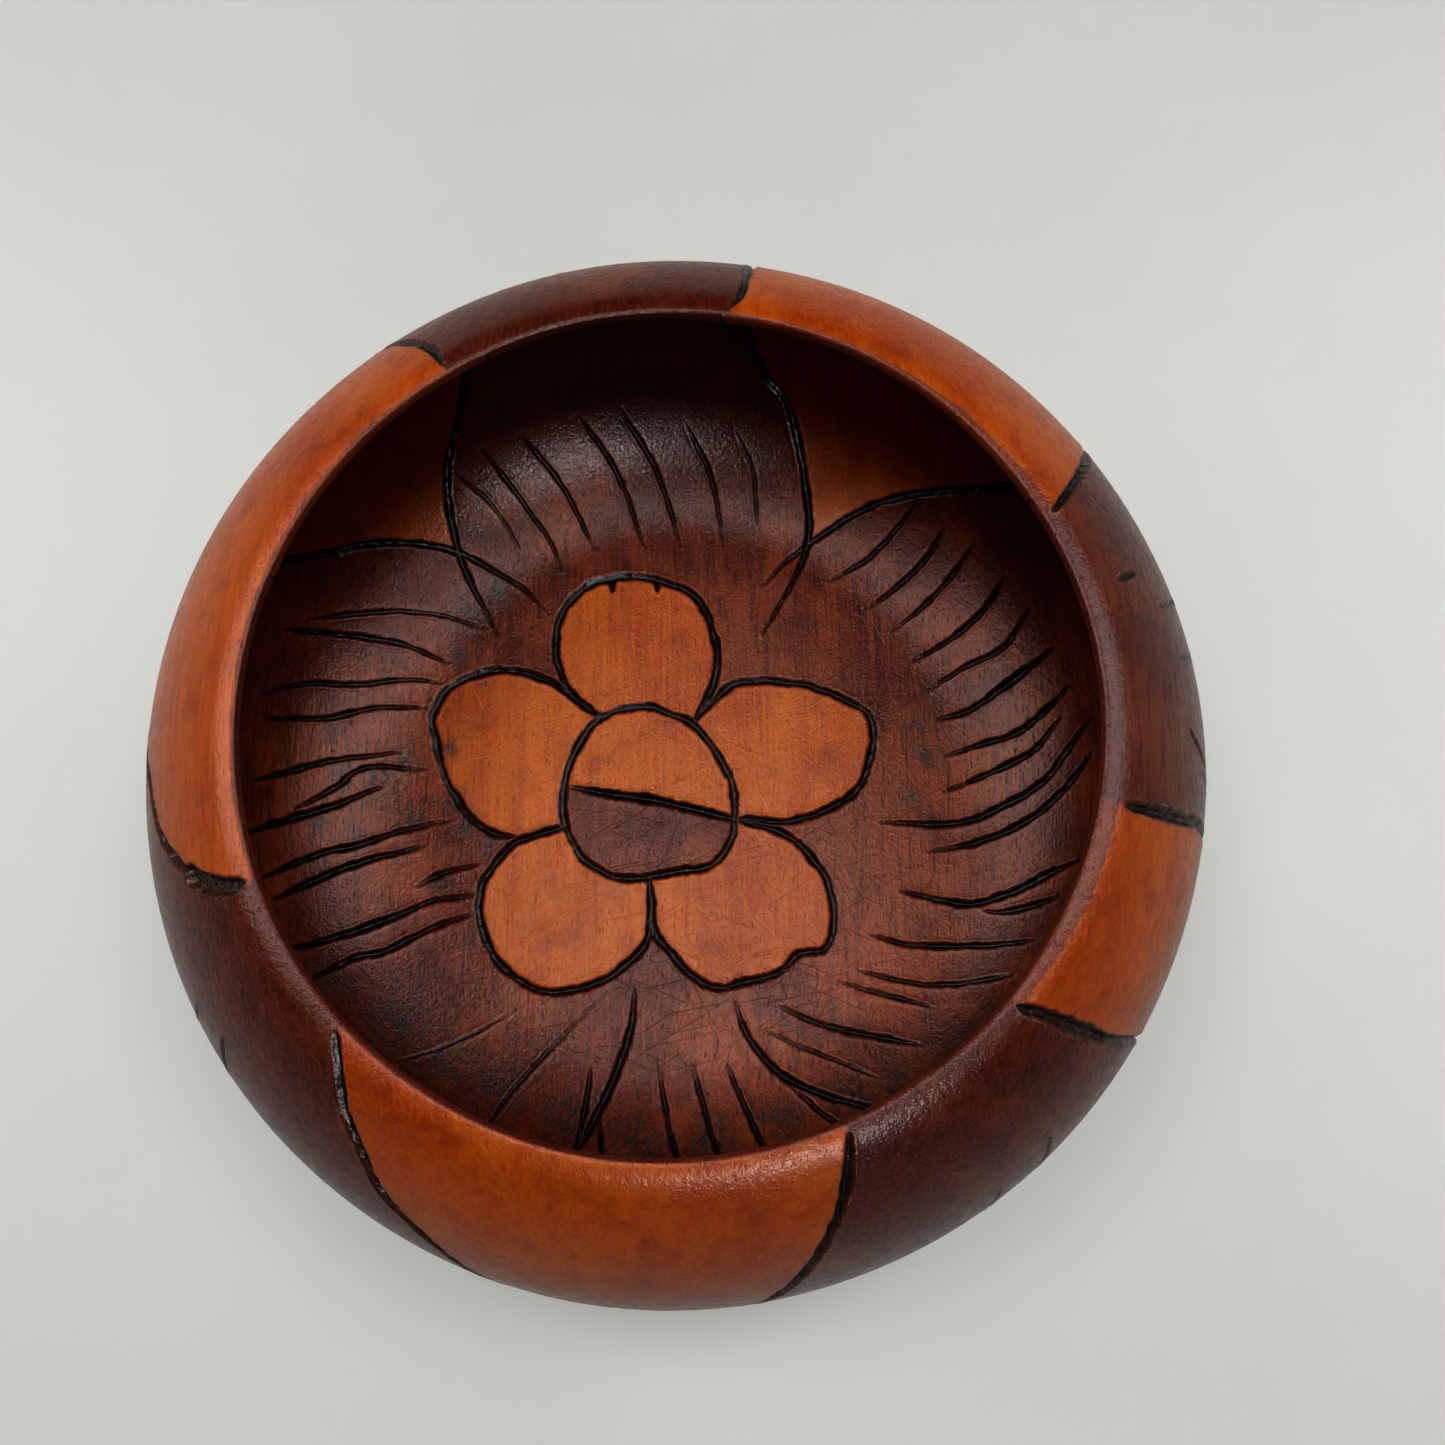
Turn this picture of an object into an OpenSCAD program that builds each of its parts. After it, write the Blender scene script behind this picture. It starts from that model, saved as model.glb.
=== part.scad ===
// Carved wooden bowl: one turned block with a closed-in shoulder and V-cut decoration.
// Units are millimetres. The bowl stands on z = 0 with its turning axis on Z.

/* [Bowl] */
// Diameter across the widest part of the belly
bowl_d = 200; // [190:1:210]
// Height from the resting face to the top of the lip
bowl_h = 90; // [86:1:94]
// Height of the widest line of the outside
belly_z = 42; // [41:0.5:44]
// Diameter of the flat resting face
foot_d = 132; // [124:1:140]
// Diameter of the open mouth
mouth_d = 142; // [136:1:146]
// Width of the flat ring on top of the lip
lip_w = 2; // [1.5:0.5:4]
// Height of the straight neck just below the lip
neck_h = 4; // [3:0.5:8]

/* [Walls] */
// Wall thickness at the belly
wall_t = 9; // [8:0.5:11]
// Thickness of the floor
floor_t = 11; // [9:0.5:13]
// Radius of the cove between the floor and the wall
cove_r = 34; // [32:1:35]

/* [Flower on the floor] */
// Number of petals
petal_count = 5; // [5]
// Diameter of the centre disc
disc_d = 38; // [34:1:40]
// Diameter of each petal
petal_d = 34; // [30:1:35]
// Distance from the flower's centre to each petal's centre
petal_out = 31; // [30:0.5:32]
// Turn of the first petal from the X axis
flower_turn = 20; // [0:1:71]
// Sideways shift of the flower from the turning axis
flower_shift = -7; // [-8:0.5:0]

/* [Carved cuts] */
// Width of a V cut at the surface
cut_w = 2; // [1.4:0.1:2.4]
// Depth of a V cut
cut_depth = 1; // [0.6:0.1:1.3]
// Width of the thin vein cuts
vein_w = 1.4; // [1:0.1:1.8]
// Depth of the thin vein cuts
vein_depth = 0.7; // [0.5:0.1:1]
// Cove angle where the inside cuts begin, 0 is the floor and 90 the belly
cut_from = 10; // [6:1:16]
// Cove angle where the inside outlines end
cut_to = 72; // [60:1:80]

/* [Hidden] */
bowl_r = bowl_d / 2;
foot_r = foot_d / 2;
mouth_r = mouth_d / 2;
lip_r = mouth_r + lip_w;
inner_r = bowl_r - wall_t;
inner_z = floor_t + cove_r;
neck_z = bowl_h - neck_h;
flat_r = inner_r - cove_r;
// Radius of an arc that leaves the belly upright and closes in by run over a height of rise
function closing_arc(rise, run) = (rise * rise + run * run) / (2 * run);
shoulder_arc = closing_arc(bowl_h - belly_z, bowl_r - lip_r);
under_arc = closing_arc(belly_z, bowl_r - foot_r);
inner_arc = closing_arc(neck_z - inner_z, inner_r - mouth_r);
// How far a cutter stands clear above the surface it cuts
clear = 2;
// Extra sweep at each end of a cutter, in degrees
run_out = 4;
// How much shallower the petals' cuts are than the disc's, so that the disc's runs through
petal_rise = 0.2;
wood = [0.42, 0.20, 0.11];
$fn = 180;

// Inside leaves: [middle angle, half width at the floor, half width at the belly, lean, veins]
leaves = [
    [100, 37, 20, 0, 7],
    [169, 40, 22, 6, 10],
    [272, 16, 23, 5, 3],
    [360, 66, 46, -4, 12]
];
// Outside tongues: [middle angle at the lip, half width at the lip, lean, half width at the belly]
tongues = [
    [54, 27, 4, 21],
    [-27, 14, 5, 10],
    [-102, 34, 6, 14],
    [162, 40, -6, 29]
];
// Angles up the shoulder where the outside cuts begin and end
tongue_from = 6;
tongue_to = 54;

// Point on the cove at the given turn, up is the cove angle from the floor
function cove_point(turn, up) = let(r = flat_r + cove_r * sin(up))
    [r * cos(turn), r * sin(turn), inner_z - cove_r * cos(up)];

// Direction from the cove into the wood
function cove_in(turn, up) = [sin(up) * cos(turn), sin(up) * sin(turn), -cos(up)];

// Point on the shoulder at the given turn, up is the angle above the belly
function shoulder_point(turn, up) = let(r = bowl_r - shoulder_arc * (1 - cos(up)))
    [r * cos(turn), r * sin(turn), belly_z + shoulder_arc * sin(up)];

// Direction from the shoulder into the wood
function shoulder_in(turn, up) = [-cos(up) * cos(turn), -cos(up) * sin(turn), -sin(up)];

function unit(v) = v / norm(v);

// Centre of the circle through the start, the end and the deepest point of a cut
function three_point_centre(a, b, c) =
    let(ab = b - a, ac = c - a, n = cross(ab, ac))
    a + (cross(n, ab) * (ac * ac) + cross(ac, n) * (ab * ab)) / (2 * (n * n));

// Half section that is widest at z_mid, with one closing arc below and one above
module belly_section(r_max, z_mid, arc_down, arc_up, z_lo, z_hi) {
    intersection() {
        translate([0, z_lo]) square([r_max, z_mid - z_lo]);
        union() {
            translate([r_max - arc_down, z_mid]) circle(arc_down);
            translate([0, z_lo]) square([r_max - arc_down, z_mid - z_lo]);
        }
    }
    intersection() {
        translate([0, z_mid]) square([r_max, z_hi - z_mid]);
        union() {
            translate([r_max - arc_up, z_mid]) circle(arc_up);
            translate([0, z_mid]) square([r_max - arc_up, z_hi - z_mid]);
        }
    }
}

// The turned block before carving
module turned_bowl() {
    rotate_extrude() difference() {
        belly_section(bowl_r, belly_z, under_arc, shoulder_arc, 0, bowl_h);
        belly_section(inner_r, inner_z, cove_r, inner_arc, floor_t, neck_z);
        translate([0, neck_z - clear]) square([mouth_r, neck_h + 2 * clear]);
    }
}

// V cutter swept on an arc: it starts at a, ends at b and is deepest at middle
module swept_cut(a, b, middle, into, width, depth) {
    low = middle + into * depth;
    c = three_point_centre(a, b, low);
    x = unit(low - c);
    z = unit(cross(b - a, low - a));
    y = cross(z, x);
    r = norm(low - c);
    // 1 when the arc's centre is in the air, -1 when it is inside the wood
    side = (c - low) * into < 0 ? 1 : -1;
    half = acos(x * unit(a - c)) + run_out;
    base = width / 2 * (depth + clear) / depth;
    multmatrix([
        [x[0], y[0], z[0], c[0]],
        [x[1], y[1], z[1], c[1]],
        [x[2], y[2], z[2], c[2]],
        [0, 0, 0, 1]
    ])
    rotate([0, 0, -half])
    rotate_extrude(angle = 2 * half)
    polygon([
        [r, 0],
        [r - side * (depth + clear), base],
        [r - side * (depth + clear), -base]
    ]);
}

// A cut on the inside, from one turn and cove angle to another
module inside_cut(turn_a, up_a, turn_b, up_b, width, depth) {
    turn_m = (turn_a + turn_b) / 2;
    up_m = (up_a + up_b) / 2;
    swept_cut(cove_point(turn_a, up_a), cove_point(turn_b, up_b),
        cove_point(turn_m, up_m), cove_in(turn_m, up_m), width, depth);
}

// A cut on the outside of the shoulder
module outside_cut(turn_a, up_a, turn_b, up_b, width, depth) {
    turn_m = (turn_a + turn_b) / 2;
    up_m = (up_a + up_b) / 2;
    swept_cut(shoulder_point(turn_a, up_a), shoulder_point(turn_b, up_b),
        shoulder_point(turn_m, up_m), shoulder_in(turn_m, up_m), width, depth);
}

// Ring-shaped V cut in the flat floor, over part of a circle or all of it
module floor_ring(r, sweep, depth) {
    base = cut_w / 2 * (depth + clear) / depth;
    translate([0, 0, floor_t]) rotate([0, 0, -sweep / 2]) rotate_extrude(angle = sweep)
    polygon([[r, -depth], [r + base, clear], [r - base, clear]]);
}

// Five round petals standing round a disc
module flower_cuts() {
    disc_r = disc_d / 2;
    petal_r = petal_d / 2;
    // Half of the petal's circle that is hidden by the disc
    hidden = acos((petal_out * petal_out + petal_r * petal_r - disc_r * disc_r)
        / (2 * petal_out * petal_r));
    translate([flower_shift, 0, 0]) {
        floor_ring(disc_r, 360, cut_depth);
        for (i = [0 : petal_count - 1])
            rotate([0, 0, flower_turn + i * 360 / petal_count])
            translate([petal_out, 0, 0])
            floor_ring(petal_r, 360 - 2 * hidden, cut_depth - petal_rise);
    }
}

// One leaf inside: two outlines and a row of veins between them
module leaf_cuts(leaf) {
    middle = leaf[0];
    lean = leaf[3];
    veins = leaf[4];
    for (s = [-1, 1])
        inside_cut(middle + s * leaf[1], cut_from, middle + lean + s * leaf[2], cut_to,
            cut_w, cut_depth);
    for (i = [1 : veins]) {
        // Runs from -1 to 1 across the leaf
        across = 2 * i / (veins + 1) - 1;
        inside_cut(middle + across * leaf[1], cut_from,
            middle + lean + across * leaf[2], cut_to - 14, vein_w, vein_depth);
    }
}

// One tongue outside: two outlines that close in towards the belly
module tongue_cuts(tongue) {
    for (s = [-1, 1])
        outside_cut(tongue[0] + tongue[2] + s * tongue[3], tongue_from,
            tongue[0] + s * tongue[1], tongue_to, cut_w, cut_depth);
}

module bowl() {
    color(wood) difference() {
        turned_bowl();
        flower_cuts();
        for (leaf = leaves) leaf_cuts(leaf);
        for (tongue = tongues) tongue_cuts(tongue);
    }
}

bowl();
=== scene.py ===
"""Carved wooden bowl on a pale table, seen from above.

The bowl is one turned block. Its surface is a mesh of revolution, refined where the knife went, with
every V cut pressed into it. Lengths in the shape code are millimetres until the mesh is made.
"""

import math

import bpy
import numpy as np
from mathutils import Matrix, Vector
from mathutils.kdtree import KDTree


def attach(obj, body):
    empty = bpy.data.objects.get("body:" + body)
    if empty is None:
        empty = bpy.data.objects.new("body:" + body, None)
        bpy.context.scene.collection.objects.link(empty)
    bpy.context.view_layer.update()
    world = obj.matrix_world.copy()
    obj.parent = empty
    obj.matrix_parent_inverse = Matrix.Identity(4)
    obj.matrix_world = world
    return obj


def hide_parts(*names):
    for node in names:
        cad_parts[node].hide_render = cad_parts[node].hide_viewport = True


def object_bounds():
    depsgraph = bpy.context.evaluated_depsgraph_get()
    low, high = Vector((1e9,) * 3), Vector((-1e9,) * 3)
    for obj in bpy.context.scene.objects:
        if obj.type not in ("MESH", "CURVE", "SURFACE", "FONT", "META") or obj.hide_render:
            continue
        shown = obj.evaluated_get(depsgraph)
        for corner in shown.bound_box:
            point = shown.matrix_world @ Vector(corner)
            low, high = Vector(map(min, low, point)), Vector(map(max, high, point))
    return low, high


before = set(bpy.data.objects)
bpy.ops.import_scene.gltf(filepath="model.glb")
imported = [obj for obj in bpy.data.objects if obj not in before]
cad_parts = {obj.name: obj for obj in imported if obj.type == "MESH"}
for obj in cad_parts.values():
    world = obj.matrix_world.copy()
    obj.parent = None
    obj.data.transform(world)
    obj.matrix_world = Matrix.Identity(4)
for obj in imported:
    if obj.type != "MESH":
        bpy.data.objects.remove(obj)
CAD_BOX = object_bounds()

# Driving sizes, in millimetres; the hand wobble needs a little room inside the CAD model's box
MM = 1000.0
WOBBLE_ROOM = 0.35
BOWL_R = min(CAD_BOX[1][0], CAD_BOX[1][1]) * MM - WOBBLE_ROOM
BOWL_H = CAD_BOX[1][2] * MM
BELLY_Z = 0.467 * BOWL_H
WALL = 0.09 * BOWL_R
FLOOR_Z = 0.11 * BOWL_R
COVE_R = 0.34 * BOWL_R
MOUTH_R = 0.71 * BOWL_R
LIP_R = 0.73 * BOWL_R
FOOT_R = 0.66 * BOWL_R
NECK_Z = BOWL_H - 0.03 * BOWL_R
# Radius of the lip's inside edge, and how far the foot's outside edge is eased
LIP_ROUND = 0.7
FOOT_EASE = 0.5
# The shoulder rolls over to the lip with this radius, between these slopes from level, in radians
ROLL_R = 10.0
ROLL_START = 0.62
ROLL_END = math.radians(8)

# Widths and depths of the cuts
CUT_W = 2.0
CUT_DEPTH = 1.0
VEIN_W = 1.4
VEIN_DEPTH = 0.75

# Mesh spacing at a cut and far from one, and how fast it grows between them
FINE = 0.5
COARSE = 3.2
GROWTH = 0.33
# The spacing stays fine this far past a cut's edge, and this far from the lip
CUT_MARGIN = 0.3
LIP_BAND = 2.5
# Cells round the bowl and along its section, and how many times a cell can be halved
AROUND = 48
ALONG = 46
LEVELS = 5

# Points to the millimetre in the section, and the spacing of points on a carved line
PER_MM = 10
LINE_STEP = 0.35
# Distances to a line or an outline are kept up to this
FAR = 4.0


# ---------------------------------------------------------------- turned shape


def closing_arc(rise, run):
    """Radius of an arc that leaves the belly upright and closes in by run over rise."""
    return (rise * rise + run * run) / (2 * run)


def arc(cx, cz, radius, start, end):
    """Points on an arc; angles in radians from +r towards +z."""
    n = max(int(abs(end - start) * radius * PER_MM), 6)
    a = np.linspace(start, end, n)
    return np.stack([cx + radius * np.cos(a), cz + radius * np.sin(a)], 1)


def run_along(pts):
    """Path length at each point of a flat line."""
    return np.r_[0, np.cumsum(np.hypot(*np.diff(pts, axis=0).T))]


def soften(values):
    """Running mean of nine values, which eases the section's corners."""
    window = 9
    return np.convolve(np.pad(values, window // 2, mode="edge"), np.ones(window) / window, "valid")


def profile():
    """The section from the middle of the floor, over the lip, to the middle of the foot.

    Returns path length, radius, height and outward normal along it, and the path length at the lip.
    """
    inner_r = BOWL_R - WALL
    inner_z = FLOOR_Z + COVE_R
    inner_arc = closing_arc(NECK_Z - inner_z, inner_r - MOUTH_R)
    inner_top = math.asin((NECK_Z - inner_z) / inner_arc)
    shoulder = closing_arc(BOWL_H - BELLY_Z, BOWL_R - LIP_R)
    under = closing_arc(BELLY_Z, BOWL_R - FOOT_R)
    under_low = math.asin(BELLY_Z / under)
    flat = inner_r - COVE_R
    start_r = BOWL_R - shoulder + shoulder * math.sin(ROLL_START)
    start_z = BELLY_Z + shoulder * math.cos(ROLL_START)
    roll_r = start_r - ROLL_R * math.sin(ROLL_START)
    roll_z = start_z - ROLL_R * math.cos(ROLL_START)
    top_r = roll_r + ROLL_R * math.sin(ROLL_END)
    top_z = roll_z + ROLL_R * math.cos(ROLL_END)
    edge_r = top_r - LIP_ROUND * math.sin(ROLL_END)
    edge_z = top_z - LIP_ROUND * math.cos(ROLL_END)
    parts = [
        np.linspace((0, FLOOR_Z), (flat, FLOOR_Z), 400),
        arc(flat, inner_z, COVE_R, -math.pi / 2, 0),
        arc(inner_r - inner_arc, inner_z, inner_arc, 0, inner_top),
        np.linspace((MOUTH_R, NECK_Z), (edge_r - LIP_ROUND, edge_z), 60),
        arc(edge_r, edge_z, LIP_ROUND, math.pi, math.pi / 2 - ROLL_END),
        arc(roll_r, roll_z, ROLL_R, math.pi / 2 - ROLL_END, math.pi / 2 - ROLL_START),
        arc(BOWL_R - shoulder, BELLY_Z, shoulder, math.pi / 2 - ROLL_START, 0),
        arc(BOWL_R - under, BELLY_Z, under, 0, -under_low),
        np.linspace((FOOT_R - FOOT_EASE, 0), (0, 0), 400),
    ]
    pts = np.concatenate(parts)
    pts = pts[np.r_[True, np.diff(run_along(pts)) > 1e-6]]
    path = run_along(pts)
    even = np.linspace(0, path[-1], int(path[-1] * PER_MM))
    r, z = np.interp(even, path, pts[:, 0]), np.interp(even, path, pts[:, 1])
    r_s, z_s = soften(r), soften(z)
    dr, dz = np.gradient(r_s), np.gradient(z_s)
    size = np.hypot(dr, dz)
    lip = even[np.argmax(z_s)]
    # The middle of the floor and of the foot stay on the axis
    return even, np.where(r < 1, r, r_s), z_s, -dz / size, dr / size, lip


PATH, RADIUS, HEIGHT, NORMAL_R, NORMAL_Z, LIP_T = profile()
PATH_END = PATH[-1]


def surface(turn, t):
    """Points on the uncarved surface and the outward normals there; turn in radians."""
    r = np.interp(t, PATH, RADIUS)
    z = np.interp(t, PATH, HEIGHT)
    nr = np.interp(t, PATH, NORMAL_R)
    nz = np.interp(t, PATH, NORMAL_Z)
    c, s = np.cos(turn), np.sin(turn)
    return np.stack([r * c, r * s, z], -1), np.stack([nr * c, nr * s, nz], -1)


# ---------------------------------------------------------------- carved lines


class Stroke:
    """One pass of the gouge: a line on the surface with a width and a depth along it.

    flat is the line in flat coordinates about the middle of the floor. ends is the part of its length
    that tapers at the start and at the end, shake is how far the hand strays, raw is how much raw wood
    shows in the cut, and square makes the cut flat-bottomed.
    """

    def __init__(self, flat, width, depth, seed, ends=(0.25, 0.25), shake=0.16, raw=0.0, square=False):
        rng = np.random.default_rng(seed)
        line = smooth_line(flat, LINE_STEP)
        run = run_along(line)
        way = np.gradient(line, axis=0)
        way /= np.hypot(*way.T)[:, None]
        aside = np.stack([-way[:, 1], way[:, 0]], 1)
        line = line + aside * (jitter(rng, run, 2.4, shake) + jitter(rng, run, 9.0, shake))[:, None]
        turn = np.arctan2(line[:, 1], line[:, 0])
        self.points, _ = surface(turn, np.hypot(line[:, 0], line[:, 1]))
        total = run[-1]
        taper = rise(run, total * ends[0]) * rise(total - run, total * ends[1])
        rough = 1 + jitter(rng, run, 0.9, 0.2) + jitter(rng, run, 2.6, 0.2)
        self.half = np.clip(width / 2 * taper * rough, 0.12, None)
        self.depth = depth * (0.25 + 0.75 * taper) * (1 + jitter(rng, run, 1.6, 0.22))
        self.raw = raw
        self.square = square


def rise(run, reach):
    """From 0 to 1 over the first reach of run, levelling off; 1 throughout without a reach."""
    if not reach:
        return np.ones(len(run))
    part = np.clip(run / max(reach, 1e-3), 0, 1)
    return np.sqrt(part * (2 - part))


def jitter(rng, run, period, amount):
    """A random polyline along a stroke, up to amount either way, with a knot every period."""
    knots = rng.uniform(-1, 1, int(run[-1] / period) + 3)
    return np.interp(run / period, np.arange(len(knots)), knots) * amount


def smooth_line(points, spacing):
    """A Catmull-Rom curve through the points, in even steps."""
    p = np.array(points, float)
    p = np.vstack([2 * p[0] - p[1], p, 2 * p[-1] - p[-2]])
    out = []
    for a, b, c, d in zip(p[:-3], p[1:-2], p[2:-1], p[3:]):
        n = max(int(np.hypot(*(c - b)) / spacing * 2), 2)
        u = np.linspace(0, 1, n, endpoint=False)[:, None]
        bend, twist = 2 * a - 5 * b + 4 * c - d, 3 * b - a - 3 * c + d
        out.append(0.5 * (2 * b + (c - a) * u + bend * u**2 + twist * u**3))
    line = np.vstack(out + [p[-2][None]])
    run = run_along(line)
    even = np.linspace(0, run[-1], max(int(run[-1] / spacing), 3))
    return np.stack([np.interp(even, run, line[:, 0]), np.interp(even, run, line[:, 1])], 1)


def polar(points, start=0.0):
    """(turn in degrees, path length past start) as flat coordinates about the middle."""
    out = []
    for turn, t in points:
        a = math.radians(turn)
        out.append(((start + t) * math.cos(a), (start + t) * math.sin(a)))
    return out


# The flower on the floor: outlines in millimetres from the turning axis
DISC = [
    (-18, 17), (-13.5, 18.5), (-8, 19), (-3, 17.5), (2, 15), (6, 10.5), (9.5, 4.5), (11, -1), (11, -6.5),
    (10, -11.5), (5.5, -16.5), (-2.5, -17.5), (-8.5, -18.5), (-14, -18.5), (-17.5, -17), (-21.5, -14.5),
    (-24, -10.5), (-26, -5.5), (-26, 0.5), (-24.5, 7), (-22, 12.5), (-18, 17),
]
FLOWER_MIDDLE = (-7.5, 0)
# The slanted cut across the disc, and the short one between the two low petals
DISC_SLASH = [(-25, 1.5), (-14.5, -0.5), (-5.5, -2), (11.5, -6.5)]
PETAL_GAP = [(-7.5, -18.5), (-7.5, -24), (-7, -31)]
# Two nicks in the top petal's rim
NICKS = [[(-15.5, 48.3), (-15.3, 45.2)], [(-5.5, 48.3), (-5.3, 45.2)]]
PETALS = {
    "top": [
        (-18.5, 17), (-25, 23), (-27.5, 29), (-28, 34.5), (-27, 40), (-23.5, 45), (-18, 48), (-11, 49),
        (-3, 47.5), (3, 44), (6.5, 37.5), (8, 31), (7, 24.5), (4.5, 19), (2.5, 15.5),
    ],
    "right": [
        (2.5, 15.5), (6, 19.5), (10, 23), (14.5, 24.5), (22, 24), (29, 22.5), (35, 20), (39.5, 17.5),
        (41.5, 13.5), (41, 8), (39.5, 3), (37, -0.5), (32, -4), (27, -6), (21.5, -7), (15.5, -6.5),
        (11.5, -6.5),
    ],
    "low_right": [
        (11.5, -6.5), (15.5, -7.5), (21, -9.5), (26, -13.5), (30, -19), (31.5, -25), (31.5, -30),
        (29.5, -34.5), (26, -35), (23.5, -35.5), (21.5, -38), (18.5, -40), (13, -41), (6.5, -42),
        (1, -39), (-3, -34.5), (-6, -30), (-7, -24), (-7.5, -18.5),
    ],
    "low_left": [
        (-7.5, -24), (-7.5, -30.5), (-10, -34.5), (-15.5, -39), (-23, -42), (-30, -42), (-35.5, -39),
        (-40, -35), (-42.5, -29.5), (-43.5, -23.5), (-43, -19.5), (-41, -16), (-36.5, -11), (-31.5, -9),
        (-25.5, -7),
    ],
    "left": [
        (-36, -9.5), (-41, -8.5), (-45.5, -5.5), (-49.5, -0.5), (-51.5, 3.5), (-52.5, 6.5), (-53.5, 10.5),
        (-55, 17), (-53.5, 21.5), (-51, 24.5), (-45.5, 27), (-39.5, 28), (-33, 26.5), (-28, 24.5),
        (-23.5, 21), (-18.5, 17),
    ],
}

# Outlines of the leaves inside: (turn, path length from the middle of the floor)
TOP_LEFT = [
    (139, 54), (136, 62), (133, 72), (129, 83), (126, 90), (123, 96), (120, 103), (117, 120), (116, 160),
]
TOP_RIGHT = [(63, 39), (62, 52), (63, 63), (66, 71), (70, 81), (74, 92), (78, 100), (81, 118), (82, 160)]
LEFT_TOP = [
    (126, 50), (127, 58), (130, 67), (133, 75), (137, 82), (142, 90), (147, 97), (153, 112), (158, 135),
    (160, 160),
]
RIGHT_TOP = [(69, 49), (65, 58), (60, 68), (55, 78), (49, 87), (45, 93), (39, 106), (33, 130), (30, 160)]
LOW_LEFT = [(-104, 43), (-103, 52), (-104, 62), (-106, 74), (-109, 90)]
LOW_RIGHT = [(-77, 46), (-76, 54), (-72, 63), (-66, 71), (-60, 80), (-57, 95)]
LEAF_SIDES = [TOP_LEFT, TOP_RIGHT, LEFT_TOP, RIGHT_TOP, LOW_LEFT, LOW_RIGHT]

# Veins inside: the same coordinates, and a weight for how hard each was cut
VEINS = [
    ([(125, 88), (123, 77), (123, 66)], 0.6),
    ([(120, 90), (118, 73), (117, 64), (118, 57)], 0.8),
    ([(114, 89), (111, 75), (109, 58)], 0.8),
    ([(105, 89), (101, 74), (98, 55)], 0.8),
    ([(99, 89), (94, 73), (90, 56)], 0.8),
    ([(89, 84), (84, 71), (80, 56)], 0.7),
    ([(81, 83), (77, 74), (74, 63)], 0.6),
    ([(156, 92), (151, 82), (147, 75), (143, 67), (139, 57)], 0.9),
    ([(159, 97), (156, 86), (153, 76), (151, 68), (150, 59)], 1.2),
    ([(168, 96), (164, 85), (161, 74), (157, 66), (154, 57)], 1.0),
    ([(171, 94), (168, 79), (164, 70), (160, 58)], 1.0),
    ([(180, 95), (176, 81), (174, 74), (171, 62)], 1.1),
    ([(-177, 84), (179, 75), (175, 69), (174, 56)], 1.0),
    ([(-173, 97), (-176, 83), (-178, 75), (178, 65)], 1.5),
    ([(-167, 94), (-170, 80), (-171, 71), (-173, 60), (-174, 50)], 1.3),
    ([(-164, 92), (-166, 81), (-168, 70), (-169, 56)], 1.5),
    ([(-161, 61), (-162, 53), (-161, 46)], 1.0),
    ([(-157, 93), (-157, 75), (-157, 67), (-157, 59), (-154, 49)], 1.5),
    ([(-152, 90), (-153, 78), (-152, 71), (-152, 61), (-150, 50)], 1.4),
    ([(-120, 88), (-120, 75), (-118, 62), (-111, 45)], 0.6),
    ([(-137, 86), (-132, 70), (-127, 56)], 0.3),
    ([(-106, 86), (-107, 74), (-109, 60)], 1.1),
    ([(-101, 84), (-103, 77), (-106, 66)], 0.8),
    ([(-89, 84), (-92, 75), (-96, 57)], 1.0),
    ([(-84, 84), (-86, 72), (-89, 57)], 1.0),
    ([(-77, 84), (-79, 72), (-82, 58)], 1.1),
    ([(-64, 86), (-67, 76), (-71, 66)], 1.1),
    ([(8, 92), (4, 84), (0, 78), (-4, 69), (-8, 58), (-10, 43)], 1.6),
    ([(3, 90), (-2, 82), (-7, 73), (-11, 64), (-15, 54)], 1.5),
    ([(-12, 88), (-15, 80), (-19, 73), (-23, 65), (-26, 51)], 1.8),
    ([(-18, 84), (-22, 74), (-23, 69)], 1.2),
    ([(-25, 82), (-29, 71), (-35, 59), (-39, 50)], 1.1),
    ([(-31, 81), (-38, 69), (-42, 62), (-47, 53)], 0.9),
    ([(-42, 70), (-47, 60), (-52, 52)], 0.7),
    ([(-48, 74), (-54, 65), (-61, 57), (-67, 50)], 1.1),
    ([(-57, 73), (-65, 61), (-72, 54)], 0.6),
    ([(50, 84), (50, 76), (51, 67), (55, 57)], 1.0),
    ([(44, 83), (43, 76), (43, 66), (45, 56)], 0.9),
    ([(39, 85), (38, 79), (37, 69), (37, 58)], 0.9),
    ([(32, 86), (30, 78), (29, 69), (29, 58)], 1.2),
    ([(26, 87), (23, 77), (23, 68), (22, 58)], 1.1),
    ([(19, 88), (17, 74), (15, 65), (15, 57)], 1.6),
    ([(13, 88), (9, 75), (8, 66), (7, 57)], 1.4),
    ([(9, 84), (5, 76), (3, 69), (-1, 56)], 1.3),
]

# The carving outside starts this far down from the top of the lip
OUTSIDE_START = LIP_T + 1
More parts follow.
